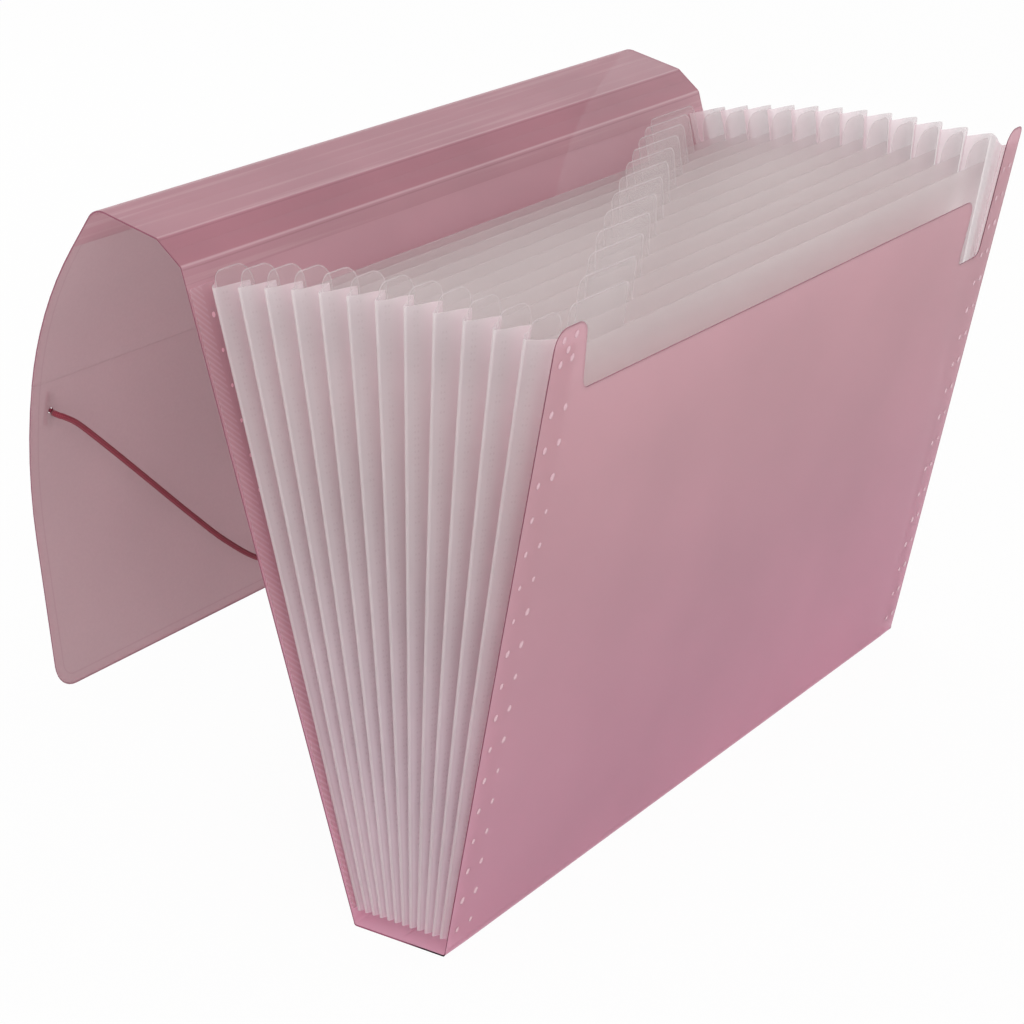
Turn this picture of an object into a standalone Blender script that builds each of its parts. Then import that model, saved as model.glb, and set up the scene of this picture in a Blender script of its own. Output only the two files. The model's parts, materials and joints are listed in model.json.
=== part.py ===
"""An expanding file folder, standing open on its base.

A cover of pink plastic sheet wraps round the front, the base and the back, and goes on over the top as
two strips and a flap, which hangs open behind. Twelve frosted dividers stand on the base and make
thirteen pockets. At both ends of each pocket a pleat folds inwards between its two sheets.

Metres, Z up. X runs along the folder's width, -Y is its front. The origin is the middle of the base's
underside. Every sheet is drawn upright in its own frame, X along its width and Z up from its foot, and
hangs on an empty that stands on its crease and leans it over.
"""

import math

import bmesh
import bpy
from mathutils import Vector

# Driving dimensions of the cover
folder_width = 0.330
spine_width = 0.039
cover_height = 0.2345
cover_thickness = 0.0006
spine_thickness = 0.0008
pocket_count = 13

# How the open file stands, in degrees from upright
back_lean = 15.3
front_lean = -12.0

# Front cover: ears at both ends, a straight top edge between them and a slot beside the right ear
front_ear_drop = 0.0015
front_panel_drop = 0.025
left_ear_width = 0.0165
left_notch_width = 0.0045
right_ear_width = 0.0115
slot_width = 0.0185
slot_depth = 0.028
ear_round = 0.0055
panel_round = 0.006
slot_round = 0.004
cover_foot_round = 0.002

# Dividers
divider_thickness = 0.0005
divider_inset = 0.0025
divider_top_drop = 0.0025
tab_height = 0.016
divider_ear_width = 0.018
divider_ear_round = 0.007
divider_right_ear_drop = 0.0085
tab_width = 0.034
tab_margin = 0.00375
tab_round = 0.003
tab_root_round = 0.0015

# Gusset pleats
pleat_thickness = 0.0003
pleat_inset = 0.0004
pleat_depth = 0.012
pleat_foot_height = 0.006
pleat_top_drop = 0.0075

# Top strips and flap, from the back cover's top crease to the flap's free edge
rear_strip_length = 0.013
flap_upper_length = 0.050
flap_middle_length = 0.060
flap_lower_length = 0.088
flap_corner_round = 0.009

# How far each crease is turned from flat while the file stands open, in degrees
rear_strip_turn = -34.7
front_strip_turn = -26.0
flap_turn = -67.0
flap_middle_turn = -24.5
flap_lower_turn = -17.0

# Elastic cord and its barbed ends
cord_diameter = 0.0022
barb_hole_inset = 0.010
barb_hole_drop = 0.042
barb_shank_diameter = 0.0016
barb_shank_reach = 0.001
barb_bar_diameter = 0.0016
barb_bar_length = 0.013

# Clearances
sheet_gap = 0.0003
barb_hole_gap = 0.0004
cut_overrun = 0.002

# Facets
arc_steps = 5
hole_sides = 24
barb_sides = 12
cord_points = 79
cord_bevel_steps = 2
route_steps = 40

# Derived sizes
half_width = folder_width / 2
crease_height = spine_thickness / 2
back_crease_y = (spine_width - cover_thickness) / 2
sheet_pitch = 2 * back_crease_y / pocket_count
lean_step = (back_lean - front_lean) / pocket_count
front_ear_height = cover_height - front_ear_drop
front_panel_height = front_ear_height - front_panel_drop
slot_floor_height = front_panel_height - slot_depth
ear_top_height = cover_height - divider_top_drop
right_ear_top_height = cover_height - divider_right_ear_drop
divider_height = ear_top_height - tab_height
divider_side = half_width - divider_inset
divider_ear_inner = divider_side - divider_ear_width
tab_pitch = (2 * (divider_ear_inner - tab_margin) - tab_width) / (pocket_count - 2)
pleat_height = cover_height - pleat_top_drop
fold_setback = cover_thickness / 2 + sheet_gap
bend_setback = sheet_gap
flap_gap = barb_bar_diameter + 2 * sheet_gap
top_reach = back_crease_y + spine_width / 2 + flap_gap + cover_thickness / 2
front_strip_length = top_reach - rear_strip_length
barb_hole_radius = barb_shank_diameter / 2 + barb_hole_gap


def clear_scene():
    for thing in list(bpy.data.objects):
        bpy.data.objects.remove(thing)


def plastic(name, colour, roughness, transmission=0.0):
    """A Principled material in the given linear colour."""
    made = bpy.data.materials.new(name)
    made.use_nodes = True
    shader = made.node_tree.nodes["Principled BSDF"]
    shader.inputs["Base Color"].default_value = (*colour, 1.0)
    shader.inputs["Roughness"].default_value = roughness
    shader.inputs["Metallic"].default_value = 0.0
    shader.inputs["Transmission Weight"].default_value = transmission
    return made


def crease(name, parent, place, turn):
    """An empty on a joint's axis, turned about X by the given degrees."""
    empty = bpy.data.objects.new(name, None)
    bpy.context.scene.collection.objects.link(empty)
    empty.parent = parent
    empty.location = place
    empty.rotation_euler = (math.radians(turn), 0, 0)
    return empty


def keep(name, shape, parent, material):
    """Turns a finished bmesh into the named object."""
    mesh = bpy.data.meshes.new(name)
    shape.to_mesh(mesh)
    shape.free()
    made = bpy.data.objects.new(name, mesh)
    bpy.context.scene.collection.objects.link(made)
    made.parent = parent
    made.data.materials.append(material)
    return made


def rounded(corners):
    """Points of an outline whose corners, given as x, z and radius, are rounded off with arcs."""
    points = []
    for index, (x, z, radius) in enumerate(corners):
        here = Vector((x, z))
        if radius == 0:
            points.append(here)
            continue
        before = Vector(corners[index - 1][:2])
        after = Vector(corners[(index + 1) % len(corners)][:2])
        way_back = (before - here).normalized()
        way_on = (after - here).normalized()
        half_angle = way_back.angle(way_on) / 2
        centre = here + (way_back + way_on).normalized() * (radius / math.sin(half_angle))
        start = here + way_back * (radius / math.tan(half_angle)) - centre
        end = here + way_on * (radius / math.tan(half_angle)) - centre
        for step in range(arc_steps + 1):
            spoke = start.normalized().slerp(end.normalized(), step / arc_steps)
            points.append(centre + spoke * radius)
    return points


def prism(shape, near, far, caps, valleys=()):
    """Closes the space between two like rings of points. The near ring runs anticlockwise, seen from
    outside, and the far one lies behind it. Each cap is a list of places in the rings. A twisted side
    beside a valley is split into triangles, always towards the far ring's valley."""
    near_ring = [shape.verts.new(point) for point in near]
    far_ring = [shape.verts.new(point) for point in far]
    for cap in caps:
        shape.faces.new([near_ring[index] for index in cap])
        shape.faces.new([far_ring[index] for index in reversed(cap)])
    for index in range(len(near)):
        after = (index + 1) % len(near)
        side = [near_ring[index], far_ring[index], far_ring[after], near_ring[after]]
        if index in valleys:
            shape.faces.new((side[0], side[1], side[3]))
            shape.faces.new((side[1], side[2], side[3]))
        elif after in valleys:
            shape.faces.new((side[0], side[1], side[2]))
            shape.faces.new((side[0], side[2], side[3]))
        else:
            shape.faces.new(side)


def cut_sheet(name, corners, thickness, parent, material):
    """A flat sheet with a rounded outline, its middle plane on the parent's XZ plane. The corners run
    anticlockwise, seen from the front."""
    outline = rounded(corners)
    near = [(point.x, -thickness / 2, point.y) for point in outline]
    far = [(point.x, thickness / 2, point.y) for point in outline]
    shape = bmesh.new()
    prism(shape, near, far, [range(len(outline))])
    return keep(name, shape, parent, material)


def rod(name, radius, start, end, sides, parent, material):
    """A straight round rod between two points of the parent's frame."""
    shape = bmesh.new()
    span = end - start
    bmesh.ops.create_cone(
        shape,
        cap_ends=True,
        segments=sides,
        radius1=radius,
        radius2=radius,
        depth=span.length,
        matrix=span.to_track_quat("Z", "Y").to_matrix().to_4x4(),
    )
    bmesh.ops.translate(shape, verts=shape.verts, vec=(start + end) / 2)
    made = keep(name, shape, parent, material)
    made.data.shade_smooth()
    made.data.set_sharp_from_angle(angle=math.radians(30))
    return made


def combine(target, other, operation):
    """Cuts or joins another object into the target, and leaves the other out of the model."""
    other.hide_render = True
    other.display_type = "WIRE"
    modifier = target.modifiers.new(other.name, "BOOLEAN")
    modifier.operation = operation
    modifier.object = other
    modifier.solver = "EXACT"


def foot(lean, thickness):
    """How far above its crease a leaning sheet starts, to stand clear of the base."""
    dip = thickness / 2 * abs(math.sin(math.radians(lean)))
    return (spine_thickness / 2 + sheet_gap + dip) / math.cos(math.radians(lean))


def sheet_lean(index):
    """Lean of a sheet in degrees: 0 is the back cover, the last is the front cover."""
    return back_lean - lean_step * index


def sheet_y(index):
    """Y of a sheet's crease."""
    return back_crease_y - sheet_pitch * index


def base_spine(material):
    shape = bmesh.new()
    bmesh.ops.create_cube(shape, size=1.0)
    bmesh.ops.scale(shape, verts=shape.verts, vec=(folder_width, spine_width, spine_thickness))
    bmesh.ops.translate(shape, verts=shape.verts, vec=(0, 0, spine_thickness / 2))
    return keep("base_spine", shape, None, material)


def back_cover(material):
    place = (0, sheet_y(0), crease_height)
    axis = crease("back_cover_crease", None, place, -back_lean)
    low = foot(back_lean, cover_thickness)
    high = cover_height - fold_setback
    corners = [
        (-half_width, low, cover_foot_round),
        (half_width, low, cover_foot_round),
        (half_width, high, 0),
        (-half_width, high, 0),
    ]
    cut_sheet("back_cover", corners, cover_thickness, axis, material)
    return axis


def front_cover(material):
    place = (0, sheet_y(pocket_count), crease_height)
    axis = crease("front_cover_crease", None, place, -front_lean)
    low = foot(front_lean, cover_thickness)
    ear_inner = -half_width + left_ear_width
    notch_inner = ear_inner + left_notch_width
    slot_outer = half_width - right_ear_width
    slot_inner = slot_outer - slot_width
    corners = [
        (-half_width, low, cover_foot_round),
        (half_width, low, cover_foot_round),
        (half_width, front_ear_height, ear_round / 2),
        (slot_outer, front_ear_height, ear_round),
        (slot_outer, slot_floor_height, slot_round),
        (slot_inner, slot_floor_height, slot_round / 2),
        (slot_inner, front_panel_height, panel_round),
        (notch_inner, front_panel_height, slot_round),
        (ear_inner, front_ear_height, ear_round),
        (-half_width, front_ear_height, ear_round),
    ]
    cut_sheet("front_cover", corners, cover_thickness, axis, material)


def divider(number, material):
    lean = sheet_lean(number)
    place = (0, sheet_y(number), crease_height)
    axis = crease(f"divider_{number:02d}_foot", None, place, -lean)
    low = foot(lean, divider_thickness)
    tab_middle = tab_pitch * (pocket_count / 2 - number)
    tab_left = tab_middle - tab_width / 2
    tab_right = tab_middle + tab_width / 2
    corners = [
        (-divider_side, low, 0),
        (divider_side, low, 0),
        (divider_side, right_ear_top_height, divider_ear_round / 2),
        (divider_ear_inner, right_ear_top_height, divider_ear_round),
        (divider_ear_inner, divider_height, tab_root_round),
        (tab_right, divider_height, tab_root_round),
        (tab_right, ear_top_height, tab_round),
        (tab_left, ear_top_height, tab_round),
        (tab_left, divider_height, tab_root_round),
        (-divider_ear_inner, divider_height, tab_root_round),
        (-divider_ear_inner, ear_top_height, divider_ear_round),
        (-divider_side, ear_top_height, divider_ear_round / 2),
    ]
    cut_sheet(f"divider_{number:02d}", corners, divider_thickness, axis, material)


def sheet_half_thickness(index):
    if index in (0, pocket_count):
        return cover_thickness / 2
    return divider_thickness / 2


def on_sheet(index, height, offset):
    """Y and Z of a point on a sheet, at a height above its crease and an offset towards the front."""
    lean = math.radians(sheet_lean(index))
    y = sheet_y(index) + height * math.sin(lean) - offset * math.cos(lean)
    z = crease_height + height * math.cos(lean) + offset * math.sin(lean)
    return Vector((y, z))


def pleat_section(pocket, height, side):
    """Six corners of a pleat's V at one height. It opens outwards, towards the given side."""
    behind, ahead = pocket - 1, pocket
    clear_behind = sheet_half_thickness(behind) + sheet_gap
    clear_ahead = sheet_half_thickness(ahead) + sheet_gap
    skin_behind = on_sheet(behind, height, clear_behind)
    skin_ahead = on_sheet(ahead, height, -clear_ahead)
    inner_behind = on_sheet(behind, height, clear_behind + pleat_thickness)
    inner_ahead = on_sheet(ahead, height, -clear_ahead - pleat_thickness)
    middle = (skin_behind + skin_ahead) / 2
    half_mouth = (skin_ahead - skin_behind).length / 2
    half_angle = math.atan(half_mouth / pleat_depth)
    ridge_x = half_width - pleat_inset
    valley_x = ridge_x - pleat_depth
    inner_valley_x = valley_x + pleat_thickness / math.sin(half_angle)
    section = [
        (ridge_x, skin_behind),
        (valley_x, middle),
        (ridge_x, skin_ahead),
        (ridge_x, inner_ahead),
        (inner_valley_x, middle),
        (ridge_x, inner_behind),
    ]
    return [(side * x, point.x, point.y) for x, point in section]


def pleat(name, pocket, side, material):
    high = pleat_section(pocket, pleat_height, side)
    low = pleat_section(pocket, pleat_foot_height, side)
    if side < 0:
        high.reverse()
        low.reverse()
    shape = bmesh.new()
    prism(shape, high, low, [(0, 1, 4, 5), (1, 2, 3, 4)], valleys=(1, 4))
    bmesh.ops.triangulate(shape, faces=shape.faces)
    keep(name, shape, None, material)


def strip(name, axis, start, end, material):
    """A plain panel of the cover across the full width, between two distances from its crease."""
    corners = [
        (-half_width, start, 0),
        (half_width, start, 0),
        (half_width, end, 0),
        (-half_width, end, 0),
    ]
    return cut_sheet(name, corners, cover_thickness, axis, material)


def barb(name, side, axis, material):
    """A bar behind the sheet with a shank that comes out of the hole on the outer face."""
    x = side * (half_width - barb_hole_inset)
    bar_depth = cover_thickness / 2 + sheet_gap + barb_bar_diameter / 2
    shank_end = cover_thickness / 2 + barb_shank_reach
    bar_low = Vector((x, -bar_depth, barb_hole_drop - barb_bar_length / 2))
    bar_high = Vector((x, -bar_depth, barb_hole_drop + barb_bar_length / 2))
    root = Vector((x, -bar_depth, barb_hole_drop))
    tip = Vector((x, shank_end, barb_hole_drop))
    bar = rod(name, barb_bar_diameter / 2, bar_low, bar_high, barb_sides, axis, material)
    shank = rod(f"{name}_shank", barb_shank_diameter / 2, root, tip, barb_sides, axis, material)
    combine(bar, shank, "UNION")


def barb_hole(name, side, sheet, axis, material):
    x = side * (half_width - barb_hole_inset)
    start = Vector((x, -cut_overrun, barb_hole_drop))
    end = Vector((x, cut_overrun, barb_hole_drop))
    hole = rod(name, barb_hole_radius, start, end, hole_sides, axis, material)
    combine(sheet, hole, "DIFFERENCE")


def top_and_flap(back_axis, film, red):
    """The two strips over the top, the flap's three slats, and the cord's barbs."""
    rear_axis = crease("rear_top_crease", back_axis, (0, 0, cover_height), rear_strip_turn)
    rear_end = rear_strip_length - bend_setback
    strip("rear_top_strip", rear_axis, fold_setback, rear_end, film)

    front_place = (0, 0, rear_strip_length)
    front_axis = crease("front_top_crease", rear_axis, front_place, front_strip_turn)
    front_end = front_strip_length - fold_setback
    strip("front_top_strip", front_axis, bend_setback, front_end, film)

    upper_axis = crease("flap_crease", front_axis, (0, 0, front_strip_length), flap_turn)
    upper_end = flap_upper_length - bend_setback
    strip("flap_upper", upper_axis, fold_setback, upper_end, film)

    middle_place = (0, 0, flap_upper_length)
    middle_axis = crease("flap_middle_bend", upper_axis, middle_place, flap_middle_turn)
    middle_end = flap_middle_length - bend_setback
    middle = strip("flap_middle", middle_axis, bend_setback, middle_end, film)
    barb_hole("left_hole", -1, middle, middle_axis, film)
    barb_hole("right_hole", 1, middle, middle_axis, film)
    barb("cord_barb_left", -1, middle_axis, red)
    barb("cord_barb_right", 1, middle_axis, red)

    lower_place = (0, 0, flap_middle_length)
    lower_axis = crease("flap_lower_bend", middle_axis, lower_place, flap_lower_turn)
    corners = [
        (-half_width, bend_setback, 0),
        (half_width, bend_setback, 0),
        (half_width, flap_lower_length, flap_corner_round),
        (-half_width, flap_lower_length, flap_corner_round),
    ]
    cut_sheet("flap_lower", corners, cover_thickness, lower_axis, film)


# The cord's route from its left end to the middle, and the same again mirrored
cord_route = [
    (-0.1550, 0.15589, 0.16006),
    (-0.1546, 0.15355, 0.15941),
    (-0.1520, 0.15245, 0.15791),
    (-0.1455, 0.15225, 0.15321),
    (-0.1300, 0.15235, 0.13891),
    (-0.1100, 0.15250, 0.11991),
    (-0.0900, 0.15265, 0.10091),
    (-0.0700, 0.15275, 0.08291),
    (-0.0500, 0.15285, 0.06891),
    (-0.0280, 0.15295, 0.06221),
    (0, 0.15300, 0.06091),
]


def smooth_points(route, count):
    """Evenly spaced points on a smooth curve through the route's points."""
    fine = []
    for index in range(len(route) - 1):
        before = route[max(index - 1, 0)]
        a, b = route[index], route[index + 1]
        after = route[min(index + 2, len(route) - 1)]
        for step in range(route_steps):
            t = step / route_steps
            pull = (b - before) * t + (2 * before - 5 * a + 4 * b - after) * t**2
            bend = (3 * a - before - 3 * b + after) * t**3
            fine.append(a + (pull + bend) / 2)
    fine.append(route[-1])
    along = [0.0]
    for index in range(1, len(fine)):
        along.append(along[-1] + (fine[index] - fine[index - 1]).length)
    points = []
    place = 0
    for step in range(count):
        target = along[-1] * step / (count - 1)
        while place < len(along) - 2 and along[place + 1] < target:
            place += 1
        share = (target - along[place]) / (along[place + 1] - along[place])
        points.append(fine[place].lerp(fine[place + 1], share))
    return points


def elastic_cord(material):
    left = [Vector(point) for point in cord_route]
    right = [Vector((-point.x, point.y, point.z)) for point in reversed(left[:-1])]
    points = smooth_points(left + right, cord_points)
    curve = bpy.data.curves.new("elastic_cord", "CURVE")
    curve.dimensions = "3D"
    curve.bevel_depth = cord_diameter / 2
    curve.bevel_resolution = cord_bevel_steps
    curve.use_fill_caps = True
    spline = curve.splines.new("POLY")
    spline.points.add(len(points) - 1)
    for target, point in zip(spline.points, points):
        target.co = (*point, 1.0)
    cord = bpy.data.objects.new("elastic_cord", curve)
    bpy.context.scene.collection.objects.link(cord)
    cord.data.materials.append(material)


def build():
    clear_scene()
    pink_film = plastic("pink_polypropylene", (0.45, 0.21, 0.26), 0.35, 0.3)
    frosted_film = plastic("frosted_polypropylene", (0.62, 0.56, 0.56), 0.5, 0.5)
    gusset_film = plastic("gusset_polypropylene", (0.66, 0.62, 0.61), 0.5, 0.5)
    red_elastic = plastic("red_elastic", (0.22, 0.03, 0.05), 0.8)
    red_barb = plastic("red_nylon", (0.25, 0.04, 0.06), 0.4)

    base_spine(pink_film)
    back_axis = back_cover(pink_film)
    front_cover(pink_film)
    for number in range(1, pocket_count):
        divider(number, frosted_film)
    for pocket in range(1, pocket_count + 1):
        pleat(f"pleat_left_{pocket:02d}", pocket, -1, gusset_film)
        pleat(f"pleat_right_{pocket:02d}", pocket, 1, gusset_film)
    top_and_flap(back_axis, pink_film, red_barb)
    elastic_cord(red_elastic)


build()
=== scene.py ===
"""The looks of an open expanding file folder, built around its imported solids.

A wrap of pink polypropylene film carries twelve frosted dividers. Gussets of the same frosted film close
both ends of its pockets. Metres, Z up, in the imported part's frame: X runs along the width, -Y is the front.
"""

import json
import math
import random

import bmesh
import bpy
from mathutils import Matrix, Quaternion, Vector


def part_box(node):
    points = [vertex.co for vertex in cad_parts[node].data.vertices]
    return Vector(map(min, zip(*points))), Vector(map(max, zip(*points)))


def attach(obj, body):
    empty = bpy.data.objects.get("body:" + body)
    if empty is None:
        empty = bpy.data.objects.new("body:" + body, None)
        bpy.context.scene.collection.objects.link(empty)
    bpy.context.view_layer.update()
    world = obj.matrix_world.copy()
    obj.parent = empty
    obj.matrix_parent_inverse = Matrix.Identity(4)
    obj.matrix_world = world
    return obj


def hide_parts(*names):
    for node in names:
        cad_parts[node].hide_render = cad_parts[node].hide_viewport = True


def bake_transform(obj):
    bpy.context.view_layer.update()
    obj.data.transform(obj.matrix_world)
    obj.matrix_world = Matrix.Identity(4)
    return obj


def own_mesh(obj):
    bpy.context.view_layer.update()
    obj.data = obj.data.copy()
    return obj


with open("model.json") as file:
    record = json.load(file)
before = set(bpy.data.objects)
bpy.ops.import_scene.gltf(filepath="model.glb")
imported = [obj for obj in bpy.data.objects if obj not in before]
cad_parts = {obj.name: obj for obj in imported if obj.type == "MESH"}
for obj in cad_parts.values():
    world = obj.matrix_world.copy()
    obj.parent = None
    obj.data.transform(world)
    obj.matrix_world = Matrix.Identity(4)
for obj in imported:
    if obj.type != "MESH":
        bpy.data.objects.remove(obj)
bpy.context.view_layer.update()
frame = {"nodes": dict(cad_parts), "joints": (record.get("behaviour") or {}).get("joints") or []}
joints = {joint["name"]: joint for joint in frame["joints"]}
scene = bpy.context.scene
mm = 0.001

# Camera
# A short telephoto at the front left and a little above, where the photograph was taken from.
camera = bpy.data.objects.new("camera", bpy.data.cameras.new("camera"))
scene.collection.objects.link(camera)
camera.data.lens = 90.0
camera.location = (-0.7690, -0.4744, 0.4497)
view_line = Vector((0.7644, 0.5370, -0.3568))
camera_roll = Quaternion((0, 0, 1), math.radians(-0.92))
camera.rotation_euler = (view_line.to_track_quat("-Z", "Y") @ camera_roll).to_euler()
scene.camera = camera
scene.view_settings.view_transform = "Standard"
scene.cycles.transparent_max_bounces = 24
scene.cycles.max_bounces = 16
scene.cycles.diffuse_bounces = 10

# Stage
# A white studio table that runs on as the background, one large soft lamp from the front left, a weaker
# one from the right, and a low one behind that shines through the film.
table_reach = 6.0
table_glow = 0.96
room_light = 0.78
lamps = [
    ("key_lamp", (-1.3, -1.1, 1.5), 1.2, 11.0),
    ("side_lamp", (1.4, -1.2, 0.9), 1.0, 4.0),
    ("back_lamp", (0.3, 1.6, 0.9), 1.0, 6.0),
]
lamps_look_at = Vector((0, 0, 0.12))


def srgb(code):
    """A hex colour as linear red, green, blue and alpha."""
    parts = [int(code[start : start + 2], 16) / 255 for start in (1, 3, 5)]
    return (*[part / 12.92 if part < 0.04045 else ((part + 0.055) / 1.055) ** 2.4 for part in parts], 1.0)


def add_node(tree, kind, inputs=None, **settings):
    """Adds a node. An input takes a value, a hex colour, or the socket that feeds it."""
    node = tree.nodes.new(kind)
    for name, value in settings.items():
        setattr(node, name, value)
    for name, value in (inputs or {}).items():
        if isinstance(value, bpy.types.NodeSocket):
            tree.links.new(value, node.inputs[name])
        else:
            node.inputs[name].default_value = srgb(value) if isinstance(value, str) else value
    return node


def white_to_the_eye(tree):
    """1 for rays that come from the camera or by way of a mirror or glass, and 0 for light."""
    path = add_node(tree, "ShaderNodeLightPath")
    sharp = add_node(tree, "ShaderNodeMath", {0: path.outputs[0], 1: path.outputs[3]}, operation="MAXIMUM")
    both = {0: sharp.outputs[0], 1: path.outputs[6]}
    return add_node(tree, "ShaderNodeMath", both, operation="MAXIMUM").outputs[0]


table = bpy.data.materials.new("white_studio_table")
table.use_nodes = True
tree = table.node_tree
tree.nodes.clear()
painted = add_node(tree, "ShaderNodeBsdfDiffuse", {"Color": "#EDECEB"})
glow = add_node(tree, "ShaderNodeEmission", {"Color": "#FFFFFF", "Strength": 1.0})
seen = add_node(tree, "ShaderNodeMath", {0: white_to_the_eye(tree), 1: table_glow}, operation="MULTIPLY")
inputs = {0: seen.outputs[0], 1: painted.outputs[0], 2: glow.outputs[0]}
mixed = add_node(tree, "ShaderNodeMixShader", inputs)
add_node(tree, "ShaderNodeOutputMaterial", {"Surface": mixed.outputs[0]})

shape = bmesh.new()
bmesh.ops.create_grid(shape, x_segments=2, y_segments=2, size=table_reach)
floor_mesh = bpy.data.meshes.new("floor")
shape.to_mesh(floor_mesh)
shape.free()
floor_mesh.materials.append(table)
floor = bpy.data.objects.new("floor", floor_mesh)
scene.collection.objects.link(floor)

world = bpy.data.worlds.new("studio")
scene.world = world
world.use_nodes = True
tree = world.node_tree
tree.nodes.clear()
room = add_node(tree, "ShaderNodeBackground", {"Color": "#F6F4F3", "Strength": room_light})
sky = add_node(tree, "ShaderNodeBackground", {"Color": "#FFFFFF", "Strength": 1.0})
inputs = {0: white_to_the_eye(tree), 1: room.outputs[0], 2: sky.outputs[0]}
mixed = add_node(tree, "ShaderNodeMixShader", inputs)
add_node(tree, "ShaderNodeOutputWorld", {"Surface": mixed.outputs[0]})

for lamp_name, place, reach, power in lamps:
    lamp = bpy.data.objects.new(lamp_name, bpy.data.lights.new(lamp_name, "AREA"))
    scene.collection.objects.link(lamp)
    lamp.data.size = reach
    lamp.data.energy = power
    lamp.location = place
    lamp.rotation_euler = (lamps_look_at - Vector(place)).to_track_quat("-Z", "Y").to_euler()

# Elastic cord
# Round rubber thread in a braided dark red sleeve. It goes through two holes in the flap and hangs from
# them in a shallow U on the flap's outer face, 385 mm of it from hole to hole.
cord_thickness = 2.2 * mm
cord_sides = 16
cord_rings = 260
steps_between_points = 40
left_route = [
    (-0.1550, 0.15589, 0.16006),
    (-0.1546, 0.15355, 0.15941),
    (-0.1520, 0.15245, 0.15791),
    (-0.1455, 0.15225, 0.15321),
    (-0.1300, 0.15235, 0.13891),
    (-0.1100, 0.15250, 0.11991),
    (-0.0900, 0.15265, 0.10091),
    (-0.0700, 0.15275, 0.08291),
    (-0.0500, 0.15285, 0.06891),
    (-0.0280, 0.15295, 0.06221),
    (0, 0.15300, 0.06091),
]


def smooth_line(route, count):
    """Evenly spaced points on a smooth curve through the route's points."""
    fine = []
    for index in range(len(route) - 1):
        before = route[max(index - 1, 0)]
        a, b = route[index], route[index + 1]
        after = route[min(index + 2, len(route) - 1)]
        for step in range(steps_between_points):
            t = step / steps_between_points
            pull = (b - before) * t + (2 * before - 5 * a + 4 * b - after) * t**2
            bend = (3 * a - before - 3 * b + after) * t**3
            fine.append(a + (pull + bend) / 2)
    fine.append(route[-1])
    along = [0.0]
    for index in range(1, len(fine)):
        along.append(along[-1] + (fine[index] - fine[index - 1]).length)
    points = []
    place = 0
    for step in range(count):
        target = along[-1] * step / (count - 1)
        while place < len(along) - 2 and along[place + 1] < target:
            place += 1
        share = (target - along[place]) / (along[place + 1] - along[place])
        points.append(fine[place].lerp(fine[place + 1], share))
    return points


def finished(name, shape, *materials):
    """Turns a bmesh into a named object of the scene."""
    mesh = bpy.data.meshes.new(name)
    shape.to_mesh(mesh)
    shape.free()
    for material in materials:
        mesh.materials.append(material)
    piece = bpy.data.objects.new(name, mesh)
    scene.collection.objects.link(piece)
    return piece


def tube(name, points, radius, sides, material):
    """A round tube along a line of points, its UV map round and along it in metres, its ends closed."""
    shape = bmesh.new()
    uv = shape.loops.layers.uv.new("film")
    across = Vector((0, 1, 0))
    rings = []
    along = [0.0]
    for index, point in enumerate(points):
        ahead = (points[min(index + 1, len(points) - 1)] - points[max(index - 1, 0)]).normalized()
        across = (across - ahead * across.dot(ahead)).normalized()
        other = ahead.cross(across)
        if index:
            along.append(along[-1] + (point - points[index - 1]).length)
        ring = []
        for side in range(sides):
            turn = 2 * math.pi * side / sides
            outwards = across * math.cos(turn) + other * math.sin(turn)
            ring.append(shape.verts.new(point + outwards * radius))
        rings.append(ring)
    for index in range(len(rings) - 1):
        for side in range(sides):
            after = (side + 1) % sides
            corners = [rings[index][side], rings[index][after]]
            corners += [rings[index + 1][after], rings[index + 1][side]]
            places = [(side, index), (side + 1, index), (side + 1, index + 1), (side, index + 1)]
            face = shape.faces.new(corners)
            face.smooth = True
            for loop, (round_step, ring_step) in zip(face.loops, places):
                loop[uv].uv = (round_step / sides, along[ring_step])
    shape.faces.new(list(reversed(rings[0])))
    shape.faces.new(rings[-1])
    return finished(name, shape, material)


def new_material(name):
    """A new material, its tree and its Principled shader."""
    made = bpy.data.materials.new(name)
    made.use_nodes = True
    return made, made.node_tree, made.node_tree.nodes["Principled BSDF"]


# Polyester braid: dull, with four strands each way that cross at a slant. Real ones lie 0.5 mm apart and
# are drawn 1.1 mm apart, to show
braid, tree, shader = new_material("braided_polyester_sleeve")
strand_pitch = 1.1 * mm
strands_round = 4
line = add_node(tree, "ShaderNodeUVMap", uv_map="film")
split = add_node(tree, "ShaderNodeSeparateXYZ", {0: line.outputs[0]})
inputs = {0: split.outputs[0], 1: 2 * math.pi * strands_round}
turns = add_node(tree, "ShaderNodeMath", inputs, operation="MULTIPLY")
inputs = {0: split.outputs[1], 1: 2 * math.pi / strand_pitch}
steps = add_node(tree, "ShaderNodeMath", inputs, operation="MULTIPLY")
waves = []
for operation in ("ADD", "SUBTRACT"):
    inputs = {0: steps.outputs[0], 1: turns.outputs[0]}
    phase = add_node(tree, "ShaderNodeMath", inputs, operation=operation)
    waves.append(add_node(tree, "ShaderNodeMath", {0: phase.outputs[0]}, operation="SINE").outputs[0])
weave = add_node(tree, "ShaderNodeMath", {0: waves[0], 1: waves[1]}, operation="MULTIPLY")
inputs = {"Value": weave.outputs[0], "From Min": -1.0, "From Max": 1.0}
height = add_node(tree, "ShaderNodeMapRange", inputs)
# Painted shade: the colour is darker in the hollows between the strands and lighter on their crests
inputs = {0: height.outputs[0], 6: "#762534", 7: "#A84052"}
mixed = add_node(tree, "ShaderNodeMix", inputs, data_type="RGBA")
inputs = {"Height": height.outputs[0], "Strength": 0.5, "Distance": 0.25 * mm}
bump = add_node(tree, "ShaderNodeBump", inputs)
tree.links.new(mixed.outputs[2], shader.inputs["Base Color"])
tree.links.new(bump.outputs[0], shader.inputs["Normal"])
shader.inputs["Roughness"].default_value = 0.75
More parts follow.
